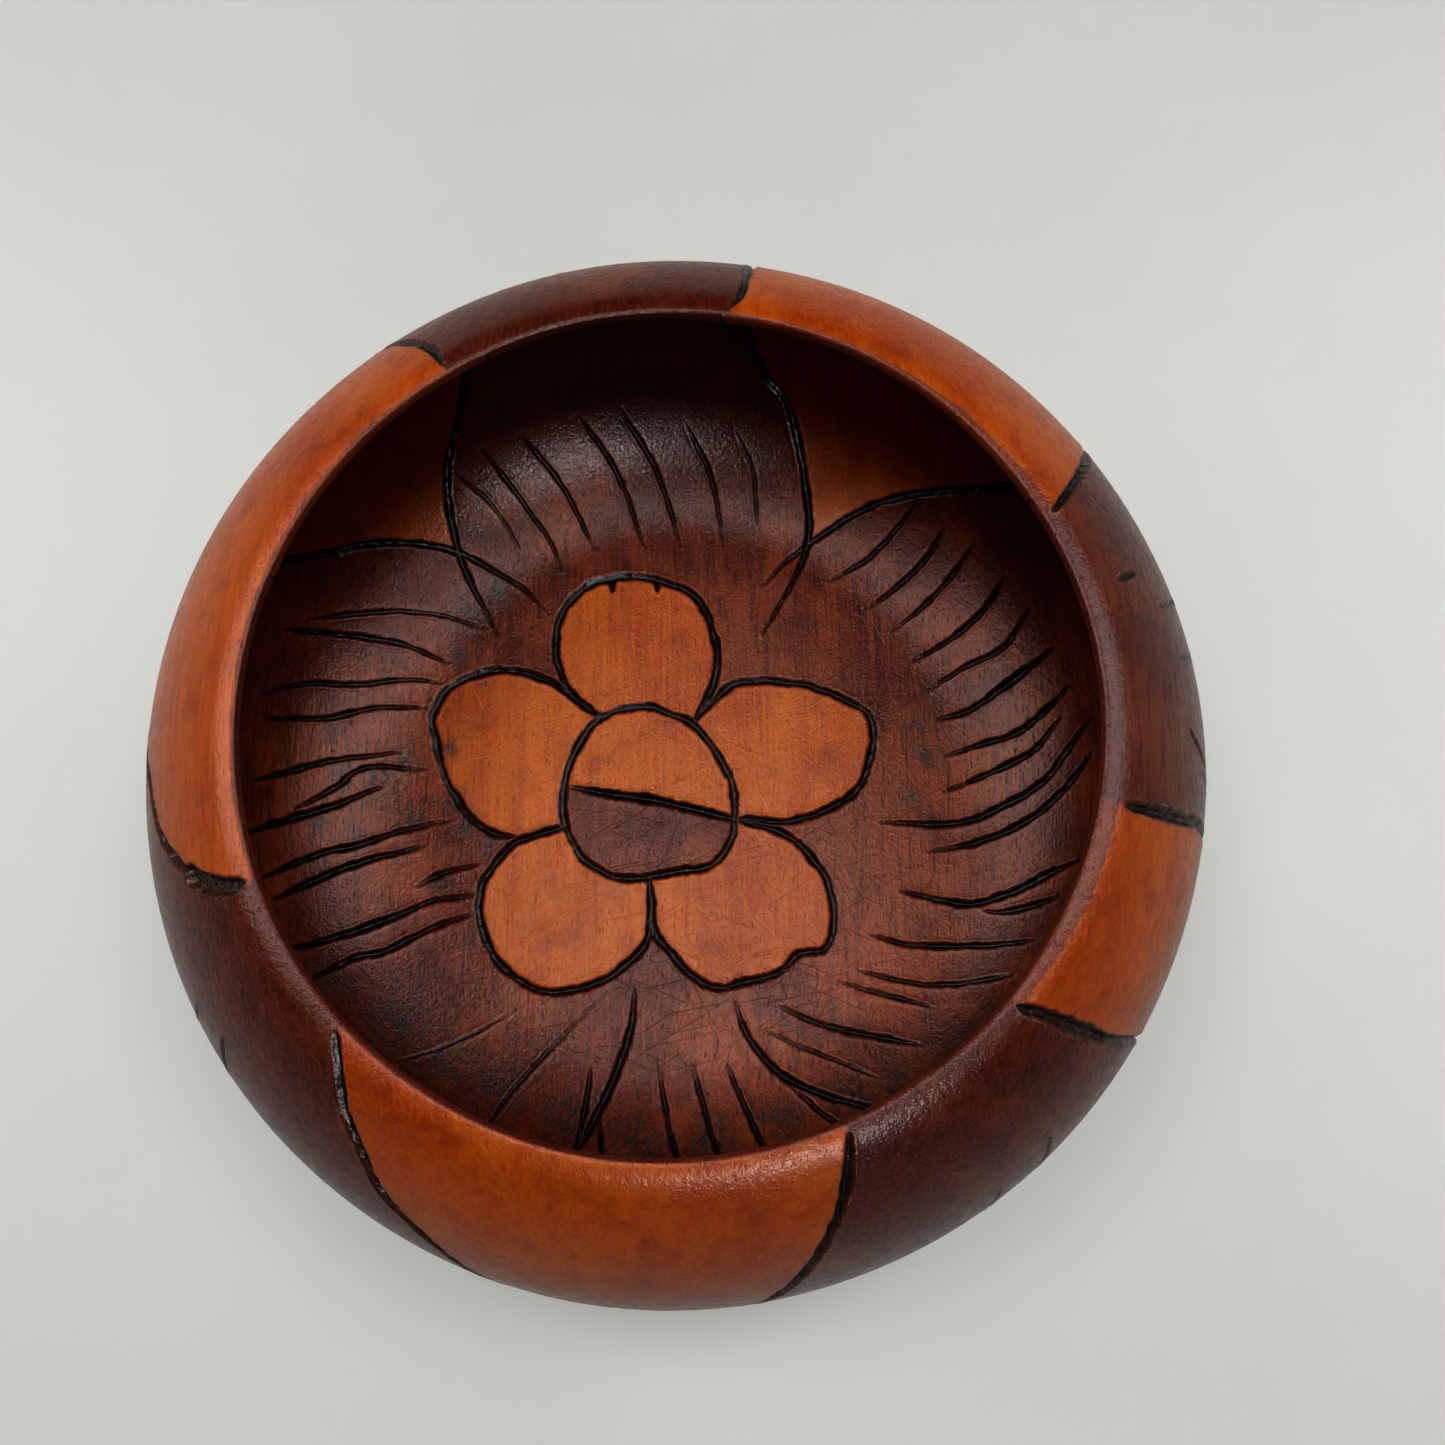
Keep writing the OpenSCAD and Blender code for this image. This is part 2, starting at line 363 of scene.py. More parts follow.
# Sides of the four light tongues outside: (turn, path length from there), the higher turn first
TONGUES = [
    (
        [(81, 0), (80, 6), (80, 28), (78, 50), (72, 72), (58, 88)],
        [(27, 0), (30, 11), (35, 33), (40, 52), (47, 72), (58, 88)],
    ),
    (
        [(-13, 3), (-12, 15), (-11, 26), (-11, 42), (-13, 60), (-17, 76), (-24, 88)],
        [(-42, 0), (-39, 11), (-37, 23), (-35, 33), (-33, 46), (-31, 62), (-28, 78), (-24, 88)],
    ),
    (
        [(-68, 0), (-69, 4), (-71, 11), (-73, 17), (-77, 29), (-83, 48), (-88, 65), (-96, 80)],
        [
            (-136, 0), (-132, 6), (-130, 10), (-126, 16), (-122, 24), (-116, 32), (-111, 43), (-105, 60),
            (-96, 80),
        ],
    ),
    (
        [
            (-158, 0), (-160, 6), (-163, 13), (-166, 18), (-170, 23), (-176, 28), (-182, 38), (-189, 55),
            (-205, 80),
        ],
        [(-238, 0), (-238, 7), (-236, 19), (-234, 30), (-230, 45), (-223, 63), (-205, 80)],
    ),
]
# Short burned ticks on the dark panels outside, in the same coordinates
TICKS = [
    [(16, 7), (17, 14)], [(13, 19), (15, 36)], [(7, 22), (9, 40)], [(-1, 22), (-4, 34)],
    [(-5, 30), (-6, 48)], [(-48, 30), (-50, 46)], [(-55, 34), (-57, 50)], [(-146, 26), (-144, 40)],
    [(-151, 30), (-150, 46)], [(96, 30), (95, 46)], [(103, 28), (103, 44)], [(110, 30), (111, 46)],
]
# Deep gouges where the knife dug in: the flat notch at the left tongue's start, and two on the right
LEFT_NOTCH = [(-158, 1), (-160, 8), (-163, 14)]
RIGHT_GOUGES = [[(-41, 2), (-39, 12), (-37, 24)], [(-13, 4), (-12, 15), (-11, 28)]]
# Burned smudges: (turn, path length from the middle of the floor, radius)
SMUDGES = [
    (177, 66, 6.5), (173, 61, 5), (177, 74, 4), (-172, 70, 4), (-175, 58, 3), (-160, 56, 3.5),
    (-168, 62, 3), (-176, 79, 3.5), (139, 62, 7), (147, 58, 5), (131, 62, 6), (14, 52, 4), (8, 53, 4),
    (-2, 49, 3), (-8, 52, 3), (-141, 78, 9), (-132, 74, 10), (-122, 72, 9), (-110, 72, 8),
    (-98, 74, 9), (-86, 74, 9), (-74, 73, 8), (-62, 74, 8), (-55, 78, 9), (-45, 82, 9), (-152, 86, 7),
    (168, 52, 3), (-178, 50, 3), (-172, 47, 3), (-166, 43, 2.5), (150, 50, 2),
]


def flower_strokes():
    """The disc, its slanted cut, the petals and the two nicks; every stroke has its own seed."""
    wide = CUT_W * 0.95
    strokes = [
        Stroke(DISC, wide, CUT_DEPTH, 11, ends=(0, 0), raw=0.25),
        Stroke(DISC_SLASH, CUT_W * 1.15, CUT_DEPTH, 12, ends=(0.5, 0.2), shake=0.05),
        Stroke(PETAL_GAP, CUT_W * 0.8, CUT_DEPTH * 0.8, 13, ends=(0.6, 0.0)),
    ]
    for seed, line in enumerate(PETALS.values(), 20):
        strokes.append(Stroke(line, wide, CUT_DEPTH, seed, ends=(0.06, 0.06), shake=0.2, raw=0.15))
    for seed, line in enumerate(NICKS, 180):
        strokes.append(Stroke(line, 1.6, 0.6, seed, ends=(0.0, 0.8), shake=0.05))
    return strokes


def leaf_strokes():
    """The leaves' sides and veins."""
    strokes = []
    for seed, line in enumerate(LEAF_SIDES, 40):
        strokes.append(Stroke(polar(line), CUT_W * 0.95, CUT_DEPTH, seed, ends=(0.35, 0.2), shake=0.1))
    for seed, (line, weight) in enumerate(VEINS, 60):
        width = VEIN_W * (0.35 + 0.65 * weight)
        depth = VEIN_DEPTH * min(weight, 1.2)
        strokes.append(Stroke(polar(line), width, depth, seed, ends=(0.4, 0.6), shake=0.12))
    return strokes


def outside_strokes():
    """The tongues' sides, the ticks and the deep gouges."""
    strokes = []
    for seed, sides in enumerate(TONGUES, 120):
        for side, line in enumerate(sides):
            flat = polar(line, OUTSIDE_START)
            strokes.append(Stroke(flat, CUT_W, CUT_DEPTH, seed + 10 * side, ends=(0.05, 0.02), raw=0.3))
    for seed, line in enumerate(TICKS, 150):
        flat = polar(line, OUTSIDE_START)
        strokes.append(Stroke(flat, VEIN_W, VEIN_DEPTH, seed, ends=(0.5, 0.5), raw=0.2))
    lower, upper = (polar(line, OUTSIDE_START) for line in RIGHT_GOUGES)
    notch = polar(LEFT_NOTCH, OUTSIDE_START)
    strokes.append(Stroke(notch, 3.4, 1.3, 170, ends=(0.1, 0.1), raw=0.9, square=True))
    strokes.append(Stroke(lower, 2.8, 1.3, 171, ends=(0.4, 0.2), raw=0.8))
    strokes.append(Stroke(upper, 2.6, 1.2, 172, ends=(0.5, 0.2), raw=0.6))
    return strokes


# ---------------------------------------------------------------- mesh


def stroke_tree(strokes):
    """Every second stroke point in a search tree, and the cut's half width at each."""
    points = np.concatenate([s.points[::2] for s in strokes])
    half = np.concatenate([s.half[::2] for s in strokes])
    tree = KDTree(len(points))
    for i, p in enumerate(points):
        tree.insert(p, i)
    tree.balance()
    return tree, half


def refine(strokes):
    """Rectangles (turn low, high, path low, high) in lattice steps, small near the cuts.

    Returns them with the size of a lattice step, in radians of turn and in millimetres of path.
    """
    tree, half = stroke_tree(strokes)
    unit = 2**LEVELS
    i, j = np.meshgrid(np.arange(AROUND) * unit, np.arange(ALONG) * unit, indexing="ij")
    cells = np.stack([i.ravel(), i.ravel() + unit, j.ravel(), j.ravel() + unit], 1)
    turn_step = 2 * math.pi / (AROUND * unit)
    path_step = PATH_END / (ALONG * unit)
    done = []
    while len(cells):
        turn = (cells[:, 0] + cells[:, 1]) / 2 * turn_step
        t = (cells[:, 2] + cells[:, 3]) / 2 * path_step
        here, _ = surface(turn, t)
        wide = np.interp(t, PATH, RADIUS) * (cells[:, 1] - cells[:, 0]) * turn_step
        tall = (cells[:, 3] - cells[:, 2]) * path_step
        near = np.empty(len(cells))
        for k, p in enumerate(here):
            _, index, distance = tree.find(p)
            near[k] = distance - half[index]
        near = np.clip(near - np.hypot(wide, tall) / 2, 0, None)
        want = np.clip(FINE + GROWTH * np.clip(near - CUT_MARGIN, 0, None), FINE, COARSE)
        lip = np.abs(t - LIP_T) - tall / 2
        want_tall = np.minimum(want, np.where(lip < LIP_BAND, FINE, COARSE))
        split_wide = (wide > want) & (cells[:, 1] - cells[:, 0] > 1)
        split_tall = (tall > want_tall) & (cells[:, 3] - cells[:, 2] > 1)
        done.append(cells[~split_wide & ~split_tall])
        both = cells[split_wide | split_tall]
        sw, st = split_wide[split_wide | split_tall], split_tall[split_wide | split_tall]
        mid_i, mid_j = (both[:, 0] + both[:, 1]) // 2, (both[:, 2] + both[:, 3]) // 2
        new = []
        for right in (0, 1):
            for up in (0, 1):
                part = both.copy()
                keep = np.ones(len(both), bool)
                part[:, 1 - right] = np.where(sw, mid_i, part[:, 1 - right])
                part[:, 3 - up] = np.where(st, mid_j, part[:, 3 - up])
                if right:
                    keep &= sw
                if up:
                    keep &= st
                new.append(part[keep])
        cells = np.concatenate(new)
    return np.concatenate(done), turn_step, path_step


def lattice_faces(cells):
    """Faces with every neighbour's corner on their edges, and the lattice points they use."""
    around = AROUND * 2**LEVELS
    last = ALONG * 2**LEVELS
    corner = np.concatenate([cells[:, [a, b]] for a in (0, 1) for b in (2, 3)])
    corner = np.unique(corner, axis=0)
    rows = {int(j): corner[corner[:, 1] == j, 0] for j in np.unique(corner[:, 1])}
    cols = {}
    for i in np.unique(corner[:, 0]):
        known = cols.get(int(i) % around, [])
        cols[int(i) % around] = np.union1d(known, corner[corner[:, 0] == i, 1]).astype(int)
    # The first and the last column are the same place
    wrapped = {j: np.union1d(r, r[r == 0] + around) for j, r in rows.items()}
    wrapped = {j: np.union1d(r, r[r == around] - around) for j, r in wrapped.items()}
    index, points, faces = {}, [], []

    def vertex(i, j):
        """Number of a lattice point; each end of the path is a single point on the axis."""
        key = (0, j) if j in (0, last) else (i % around, j)
        if key not in index:
            index[key] = len(points)
            points.append(key)
        return index[key]

    for i0, i1, j0, j1 in cells.tolist():
        low, high = wrapped[j0], wrapped[j1]
        left, right = cols[i0 % around], cols[i1 % around]
        ring = [(int(i), j0) for i in low[(low >= i0) & (low < i1)]]
        ring += [(i1, int(j)) for j in right[(right >= j0) & (right < j1)]]
        ring += [(int(i), j1) for i in high[(high > i0) & (high <= i1)][::-1]]
        ring += [(i0, int(j)) for j in left[(left > j0) & (left <= j1)][::-1]]
        face = []
        for i, j in ring:
            v = vertex(i, j)
            if not face or face[-1] != v:
                face.append(v)
        if face[0] == face[-1]:
            face.pop()
        if len(face) > 2:
            faces.append(face)
    return np.array(points), faces


def nearest_on_line(points, stroke):
    """Distance to a stroke, and how far along it, for each point."""
    a, b = stroke.points[:-1], stroke.points[1:]
    ab = b - a
    length = np.maximum((ab * ab).sum(1), 1e-9)
    best = np.empty(len(points))
    place = np.empty(len(points))
    batch = 4000
    for start in range(0, len(points), batch):
        p = points[start : start + batch]
        ap = p[:, None] - a[None]
        u = np.clip((ap * ab).sum(2) / length, 0, 1)
        d = np.linalg.norm(ap - u[..., None] * ab, axis=2)
        k = d.argmin(1)
        row = np.arange(len(p))
        best[start : start + batch] = d[row, k]
        place[start : start + batch] = k + u[row, k]
    return best, place


def press_strokes(points, strokes):
    """How deep every point is pressed, its distance past the nearest cut's edge, and raw wood."""
    depth = np.zeros(len(points))
    edge = np.full(len(points), FAR)
    raw = np.zeros(len(points))
    for s in strokes:
        low, high = s.points.min(0) - FAR, s.points.max(0) + FAR
        pick = np.flatnonzero(((points > low) & (points < high)).all(1))
        if not len(pick):
            continue
        d, place = nearest_on_line(points[pick], s)
        index = np.arange(len(s.half))
        half = np.interp(place, index, s.half)
        deep = np.interp(place, index, s.depth)
        inside = np.clip(1 - d / half, 0, 1)
        shape = np.clip(inside * 3, 0, 1) if s.square else inside**0.9
        depth[pick] = np.maximum(depth[pick], deep * shape)
        out = d - half
        raw[pick] = np.where(out < edge[pick], s.raw, raw[pick])
        edge[pick] = np.minimum(edge[pick], out)
    return depth, edge, raw


def polygon_distance(xy, line):
    """Signed distance to a closed line, positive inside."""
    a = np.array(line, float)
    b = np.roll(a, -1, 0)
    ab = b - a
    ap = xy[:, None] - a[None]
    u = np.clip((ap * ab).sum(2) / np.maximum((ab * ab).sum(1), 1e-9), 0, 1)
    d = np.linalg.norm(ap - u[..., None] * ab, axis=2).min(1)
    # A point is inside when a ray towards +x crosses the line an odd number of times
    x, y = xy[:, 0:1], xy[:, 1:2]
    climb = np.where(ab[:, 1] == 0, 1e-9, ab[:, 1])
    crosses = ((a[:, 1] > y) != (b[:, 1] > y)) & (x < ab[:, 0] * (y - a[:, 1]) / climb + a[:, 0])
    return np.where(crosses.sum(1) % 2 == 1, d, -d)


def between(turn, t, r, low_line, high_line):
    """Signed distance into the space between two outlines given as (turn, path length)."""
    low, high = np.array(low_line, float), np.array(high_line, float)
    a = np.interp(t, low[:, 1], low[:, 0])
    b = np.interp(t, high[:, 1], high[:, 0])
    off = (turn - (a + b) / 2 + 180) % 360 - 180
    return ((b - a) / 2 - np.abs(off)) * math.pi / 180 * r


def flower_zone(xy):
    """Signed distance into the petals and the disc's light half, above its slanted cut."""
    petals = np.full(len(xy), -FAR)
    for line in PETALS.values():
        outline = np.vstack([smooth_line(line, 1.2), [FLOWER_MIDDLE]])
        petals = np.maximum(petals, polygon_distance(xy, outline))
    disc = polygon_distance(xy, smooth_line(DISC, 1.2))
    # The slanted cut, carried on past the disc at both ends
    slash = smooth_line([(-60, 8.5)] + DISC_SLASH + [(60, -18)], 1.0)
    above = xy[:, 1] - np.interp(xy[:, 0], slash[:, 0], slash[:, 1])
    return np.where(disc > 0, np.minimum(disc, above), petals)


def tongue_zone(degrees, down, r):
    """Signed distance into the light tongues outside; down is the path length from their start."""
    zone = np.full(len(down), -FAR)
    for high_side, low_side in TONGUES:
        zone = np.maximum(zone, between(degrees, down, r, low_side, high_side))
        zone = np.where(down > low_side[-1][1], -FAR, zone)
    return zone


def light_zones(points, turn, t):
    """Signed distance into the unstained areas, positive inside them."""
    r = np.hypot(points[:, 0], points[:, 1])
    degrees = np.degrees(turn)
    out = np.full(len(points), -FAR)
    # The flower ends before this path length, and the gaps between the leaves start at this one
    flower_end, gap_start = 66, 55
    floor = np.flatnonzero(t < flower_end)
    out[floor] = flower_zone(points[floor, :2])
    # The stain changes over just inside the top of the lip
    inside_end = LIP_T - 0.5
    gap = np.maximum(
        between(degrees, t, r, TOP_LEFT, LEFT_TOP),
        between(degrees, t, r, RIGHT_TOP, TOP_RIGHT),
    )
    out = np.where((t > gap_start) & (t < inside_end), np.maximum(out, gap), out)
    out = np.where(t > inside_end, tongue_zone(degrees, t - OUTSIDE_START, r), out)
    return np.clip(out, -FAR, FAR)


def smudges(points):
    """How burned the surface is near the ends of the cuts."""
    out = np.zeros(len(points))
    for turn, t, radius in SMUDGES:
        centre, _ = surface(math.radians(turn), t)
        d = np.linalg.norm(points - centre, axis=1)
        out = np.maximum(out, np.exp(-((d / radius) ** 2) * 1.6))
    return out


def hand_wobble(turn):
    """The lathe and the sanding leave the round a little untrue; it only ever takes wood away."""
    waves = ((0.16, 2, 0.7), (0.1, 3, 2.1), (0.06, 7, 1.0))
    return sum(size * (np.sin(count * turn + phase) - 1) for size, count, phase in waves)


def rim_width(turn):
    """How far the dark band on the lip reaches outwards; it is widest on the right."""
    return 0.1 + 2.9 * np.clip(np.cos(turn + 0.12), 0, 1) ** 3


def carved_place(base, normal, turn, depth, edge):
    """Where each point of the surface ends up: pressed in, with a burr beside each cut, and untrue."""
    burr = 0.09 * np.exp(-(((edge - 0.25) / 0.3) ** 2))
    place = base + normal * (burr - depth)[:, None]
    outward = np.stack([np.cos(turn), np.sin(turn), np.zeros(len(turn))], 1)
    side = np.clip(np.hypot(base[:, 0], base[:, 1]) / MOUTH_R, 0, 1)
    place = place + outward * (hand_wobble(turn) * side)[:, None]
    place[:, 2] = np.clip(place[:, 2], 0, None)
    return place


def build_bowl():
    """The bowl's mesh with its carving, in metres, and what its material needs at each vertex."""
    strokes = flower_strokes() + leaf_strokes() + outside_strokes()
    cells, turn_step, path_step = refine(strokes)
    lattice, faces = lattice_faces(cells)
    turn, t = lattice[:, 0] * turn_step, lattice[:, 1] * path_step
    base, normal = surface(turn, t)
    depth, edge, raw = press_strokes(base, strokes)
    along = t - LIP_T
    # Distance into the dark band on the lip
    rim = np.clip(np.minimum(along + 2.5, rim_width(turn) - along), -FAR, FAR)
    mesh = bpy.data.meshes.new("bowl_carved")
    place = carved_place(base, normal, turn, depth, edge)
    mesh.from_pydata((place / MM).tolist(), [], faces)
    mesh.validate()
    fields = {
        "light": light_zones(base, turn, t),
        "edge": edge,
        "raw": raw,
        "soot": smudges(base),
        "along": along,
        "rim": rim,
    }
    for name, values in fields.items():
        layer = mesh.attributes.new(name, "FLOAT", "POINT")
        layer.data.foreach_set("value", values.astype(np.float32))
    mesh.polygons.foreach_set("use_smooth", np.ones(len(mesh.polygons), bool))
    mesh.update()
    bowl = bpy.data.objects.new("bowl_carved", mesh)
    bpy.context.scene.collection.objects.link(bowl)
    return bowl


# ---------------------------------------------------------------- materials


class Nodes:
    """A short way to write a node tree."""

    def __init__(self, name):
        self.material = bpy.data.materials.new(name)
        self.material.use_nodes = True
        self.tree = self.material.node_tree
        self.tree.nodes.clear()

    def put(self, socket, value):
        """Link the socket or set its value; None leaves it alone."""
        if isinstance(value, bpy.types.NodeSocket):
            self.tree.links.new(value, socket)
        elif value is not None:
            socket.default_value = value

    def node(self, kind, inputs=(), **settings):
        """A new node with these inputs and settings."""
        n = self.tree.nodes.new(kind)
        for key, value in settings.items():
            setattr(n, key, value)
        for key, value in dict(inputs).items():
            self.put(n.inputs[key], value)
        return n

    def math(self, operation, a, b=None, c=None):
        """The result of one sum on up to three values."""
        n = self.tree.nodes.new("ShaderNodeMath")
        n.operation = operation
        for socket, value in zip(n.inputs, (a, b, c)):
            self.put(socket, value)
        return n.outputs[0]

    def remap(self, value, low, high, to_low=0.0, to_high=1.0):
        """From low..high to to_low..to_high with soft ends, clamped."""
        n = self.tree.nodes.new("ShaderNodeMapRange")
        n.interpolation_type = "SMOOTHSTEP"
        ends = (("From Min", low), ("From Max", high), ("To Min", to_low), ("To Max", to_high))
        for key, v in (("Value", value), *ends):
            self.put(n.inputs[key], v)
        return n.outputs[0]

    def mix(self, factor, a, b, blend="MIX"):
        """Colour a with b laid over it by factor."""
        n = self.tree.nodes.new("ShaderNodeMix")
        n.data_type = "RGBA"
        n.blend_type = blend
        self.put(n.inputs[0], factor)
        self.put(n.inputs[6], a)
        self.put(n.inputs[7], b)
        return n.outputs[2]

    def noise(self, vector, scale, detail=2.0, rough=0.5, bend=0.0):
        """A noise pattern, with scale in cycles per unit of the vector."""
        inputs = {"Vector": vector, "Scale": scale, "Detail": detail, "Roughness": rough, "Distortion": bend}
        return self.node("ShaderNodeTexNoise", inputs).outputs["Fac"]

    def stretched(self, vector, scale, turn=(0, 0, 0)):
        """The vector scaled and turned."""
        n = self.node("ShaderNodeMapping", {"Vector": vector, "Scale": scale, "Rotation": turn})
        return n.outputs[0]

    def attribute(self, name):
        """One of the mesh's fields."""
        return self.node("ShaderNodeAttribute", attribute_name=name).outputs["Fac"]

    def finished(self, inputs):
        """The material, with a Principled shader that has these inputs."""
        shader = self.node("ShaderNodeBsdfPrincipled", inputs)
        out = self.node("ShaderNodeOutputMaterial")
        self.tree.links.new(shader.outputs[0], out.inputs["Surface"])
        return self.material


def colour(r, g, b):
    """A linear colour with full alpha."""
    return (r, g, b, 1.0)


class Pattern:
    """The wood's patterns, in millimetres, the mesh's fields and two painted shade masks, which the
    functions below share.
    """

    def __init__(self, n):
        coords = n.node("ShaderNodeTexCoord").outputs["Object"]
        self.place = place = n.stretched(coords, (MM, MM, MM))
        grain = n.stretched(place, (1, 0.045, 1))
        self.light, self.edge, self.raw = n.attribute("light"), n.attribute("edge"), n.attribute("raw")
        self.soot, self.along, self.rim = n.attribute("soot"), n.attribute("along"), n.attribute("rim")
        self.blotch = n.noise(place, 0.035, 3.0, 0.55)
        self.cloud = n.noise(place, 0.11, 4.0, 0.6)
        self.band = n.noise(grain, 0.22, 3.0, 0.6, 0.6)
        self.fibre = n.noise(grain, 1.7, 4.0, 0.65)
        self.streak = n.noise(n.stretched(place, (1, 0.07, 1)), 0.75, 4.0, 0.7, 0.8)
        self.pores = n.remap(n.noise(n.stretched(place, (1, 0.16, 1)), 3.1, 2.0, 0.5), 0.63, 0.74)
        self.speck = n.noise(place, 2.3, 3.0, 0.7)
        # Painted shade: the wood is darker and redder high on the inside wall, under the lip, where shade
        # falls
        inside = n.remap(self.along, -4.0, -1.5, 1.0, 0.0)
        self.painted_shade_under_lip = n.math("MULTIPLY", n.remap(self.along, -78.0, -52.0), inside)
        # Painted shade: the wood is also darker low on the outside, towards the bottom, where shade falls
        self.painted_shade_low_outside = n.remap(self.along, 20.0, 52.0, 0.0, 0.6)


def scratches(n, place):
    """Fine straight scratches in several directions."""
    total = None
    for angle, offset in ((0.4, 3.0), (1.1, 7.0), (1.9, 12.0), (2.6, 5.0), (2.95, 21.0)):
        turned = n.stretched(place, (1, 1, 1), (0.0, 0.0, angle))
        thin = n.stretched(turned, (0.045, 2.6, 0.3))
        moved = n.node("ShaderNodeVectorMath", {0: thin, 1: (offset, offset, 0)}, operation="ADD").outputs[0]
        line = n.remap(n.noise(moved, 1.0, 1.0, 0.4), 0.69, 0.76)
        total = line if total is None else n.math("MAXIMUM", total, line)
    return total


def bare_wood(n, p):
    """Orange-brown lacquered wood, without stain, with shade painted in high on the inside wall and low on
    the outside.
    """
    wood = n.mix(n.remap(p.band, 0.3, 0.7), colour(0.40, 0.078, 0.004), colour(0.52, 0.132, 0.008))
    wood = n.mix(n.remap(p.blotch, 0.45, 0.68, 0.0, 0.6), wood, colour(0.29, 0.040, 0.004))
    wood = n.mix(n.remap(p.fibre, 0.4, 0.7, 0.0, 0.5), wood, colour(0.60, 0.170, 0.012))
    wood = n.mix(n.remap(p.streak, 0.5, 0.7, 0.0, 0.6), wood, colour(0.24, 0.040, 0.005))
    wood = n.mix(n.remap(p.cloud, 0.5, 0.72, 0.0, 0.5), wood, colour(0.17, 0.028, 0.007))
    # Painted shade high on the inside wall, under the lip
    wood = n.mix(n.math("MULTIPLY", p.painted_shade_under_lip, 0.7), wood, colour(0.15, 0.010, 0.001))
    outside = n.mix(0.35, wood, colour(0.20, 0.018, 0.001))
    wood = n.mix(n.remap(p.along, -2.0, 0.0), wood, outside)
    # Painted shade low on the outside, towards the bottom
    wood = n.mix(p.painted_shade_low_outside, wood, colour(0.06, 0.006, 0.001))
    # Stain has crept a little way in from the outlines
    near_line = n.remap(n.math("MULTIPLY_ADD", p.cloud, 3.0, p.light), 1.4, 3.6, 0.45, 0.0)
    return n.mix(near_line, wood, colour(0.19, 0.026, 0.007))


def stained_wood(n, p):
    """Dark red-brown stain, richer inside the bowl than outside, with shade painted in high on the inside
    wall and low on the outside.
    """
    wood = n.mix(n.remap(p.cloud, 0.35, 0.65), colour(0.060, 0.010, 0.005), colour(0.108, 0.020, 0.009))
    wood = n.mix(n.remap(p.blotch, 0.47, 0.6, 0.0, 0.7), wood, colour(0.21, 0.052, 0.014))
    wood = n.mix(n.remap(p.fibre, 0.4, 0.7, 0.0, 0.55), wood, colour(0.20, 0.050, 0.018))
    wood = n.mix(n.remap(p.streak, 0.48, 0.66, 0.0, 0.75), wood, colour(0.045, 0.008, 0.004))
    inside = n.mix(1.0, wood, colour(1.5, 1.4, 1.25), "MULTIPLY")
    outside = n.mix(0.3, wood, colour(0.06, 0.005, 0.002))
    wood = n.mix(n.remap(p.along, -1.0, 0.5), inside, outside)
    # Painted shade high on the inside wall, under the lip
    wood = n.mix(n.math("MULTIPLY", p.painted_shade_under_lip, 0.6), wood, colour(0.06, 0.004, 0.001))
    # Painted shade low on the outside, towards the bottom
    wood = n.mix(p.painted_shade_low_outside, wood, colour(0.025, 0.002, 0.001))
    # The middle of the floor is a little darker
    return n.mix(n.remap(p.along, -120.0, -108.0, 0.25, 0.0), wood, colour(0.05, 0.010, 0.006))


def lip_band(n, p, wood):
    """The dark speckled band along the lip, with a wavy edge."""
    wavy = n.math("ADD", p.rim, n.math("MULTIPLY_ADD", p.cloud, 1.2, -0.6))
    dark = n.mix(n.remap(p.speck, 0.4, 0.6), colour(0.045, 0.010, 0.009), colour(0.12, 0.028, 0.022))
    return n.mix(n.remap(wavy, -0.2, 0.5, 0.0, 0.7), wood, dark)


def burned_cuts(n, p, wood):
    """A dark halo and painted glints beside the cuts (bright flecks that stand in for light catching the cut
    edges), black char and some raw wood inside them.
    """
    ragged = n.math("ADD", p.edge, n.math("MULTIPLY_ADD", n.noise(p.place, 1.4, 3.0, 0.6), 0.5, -0.25))
    wood = n.mix(n.remap(ragged, 0.0, 0.5, 0.5, 0.0), wood, colour(0.045, 0.010, 0.007))
    # Painted highlight: bright flecks along the cuts' edges, where light would catch them
    beside = n.remap(n.math("ABSOLUTE", n.math("ADD", ragged, -0.28)), 0.05, 0.2, 1.0, 0.0)
    painted_glint = n.math("MULTIPLY", beside, n.remap(n.noise(p.place, 0.9, 2.0, 0.6), 0.5, 0.62))
    wood = n.mix(n.math("MULTIPLY", painted_glint, 0.3), wood, colour(0.45, 0.24, 0.16))
    black, singed = colour(0.0040, 0.0028, 0.0025), colour(0.042, 0.0080, 0.0036)
    burned = n.mix(n.remap(ragged, -0.6, -0.15), black, singed)
    raw = n.math("MULTIPLY", p.raw, n.remap(p.speck, 0.45, 0.62))
    char = n.mix(raw, burned, colour(0.11, 0.045, 0.02))
    return n.mix(n.remap(ragged, -0.18, 0.02, 1.0, 0.0), wood, char)


def surface_relief(n, p, scratch):
    """The lacquer's leathery bump, with the fibres, pores and scratches."""
    leather = n.noise(p.place, 1.1, 3.0, 0.55)
    fine = n.noise(p.place, 4.0, 2.0, 0.6)
    relief = n.math("ADD", n.math("MULTIPLY", leather, 0.55), n.math("MULTIPLY", fine, 0.2))
    relief = n.math("ADD", relief, n.math("MULTIPLY", p.fibre, 0.25))
    relief = n.math("SUBTRACT", relief, n.math("MULTIPLY", p.pores, 0.35))
    relief = n.math("SUBTRACT", relief, n.math("MULTIPLY", scratch, 0.3))
    return n.node("ShaderNodeBump", {"Height": relief, "Strength": 1.0, "Distance": 0.00026}).outputs[0]


